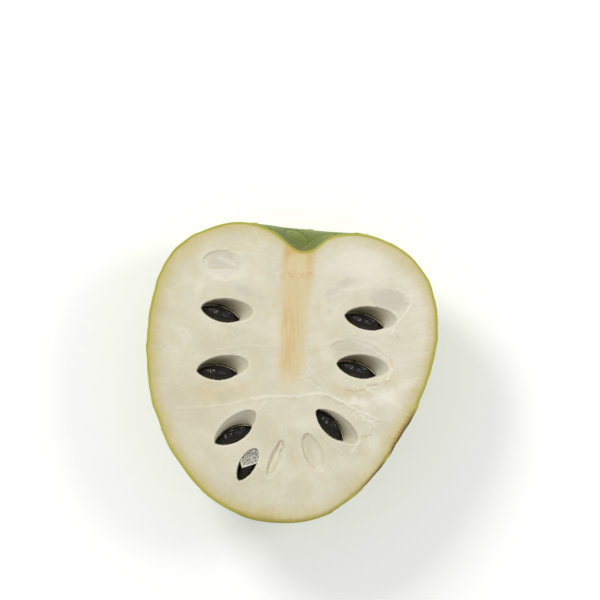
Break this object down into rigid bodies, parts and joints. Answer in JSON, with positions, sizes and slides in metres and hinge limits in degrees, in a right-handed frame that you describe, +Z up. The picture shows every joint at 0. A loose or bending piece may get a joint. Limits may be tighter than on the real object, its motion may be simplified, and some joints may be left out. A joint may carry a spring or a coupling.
{
  "type": "custard apple half",
  "caption": "Half a heart-shaped custard apple, cut lengthwise through its core, with pale flesh, dark seeds loose in open pockets and a green back of overlapping plates.",
  "frame": {"origin": "centre of the footprint's bounding box, on the small flat spot that the rounded back rests on", "axes": "+Z up, square to the level cut face; +Y along the core towards the stem end; +X towards the lower of the two shoulders"},
  "size_m": [0.1114, 0.1148, 0.0514],
  "materials": {
    "flesh": "moist cream-white flesh, cut smooth, with a tan fibrous core",
    "skin": "yellow-green skin of overlapping plates with paler rims and brown specks",
    "seed": "glossy brown-black seed coat with fine ridges"
  },
  "bodies": {
    "root": {"half_fruit": "flesh", "seed_upper_left": "seed", "seed_middle_left": "seed", "seed_lower_left": "seed", "seed_lowest": "seed", "seed_upper_right": "seed", "seed_middle_right": "seed", "seed_lower_right": "seed"}
  },
  "joints": []
}
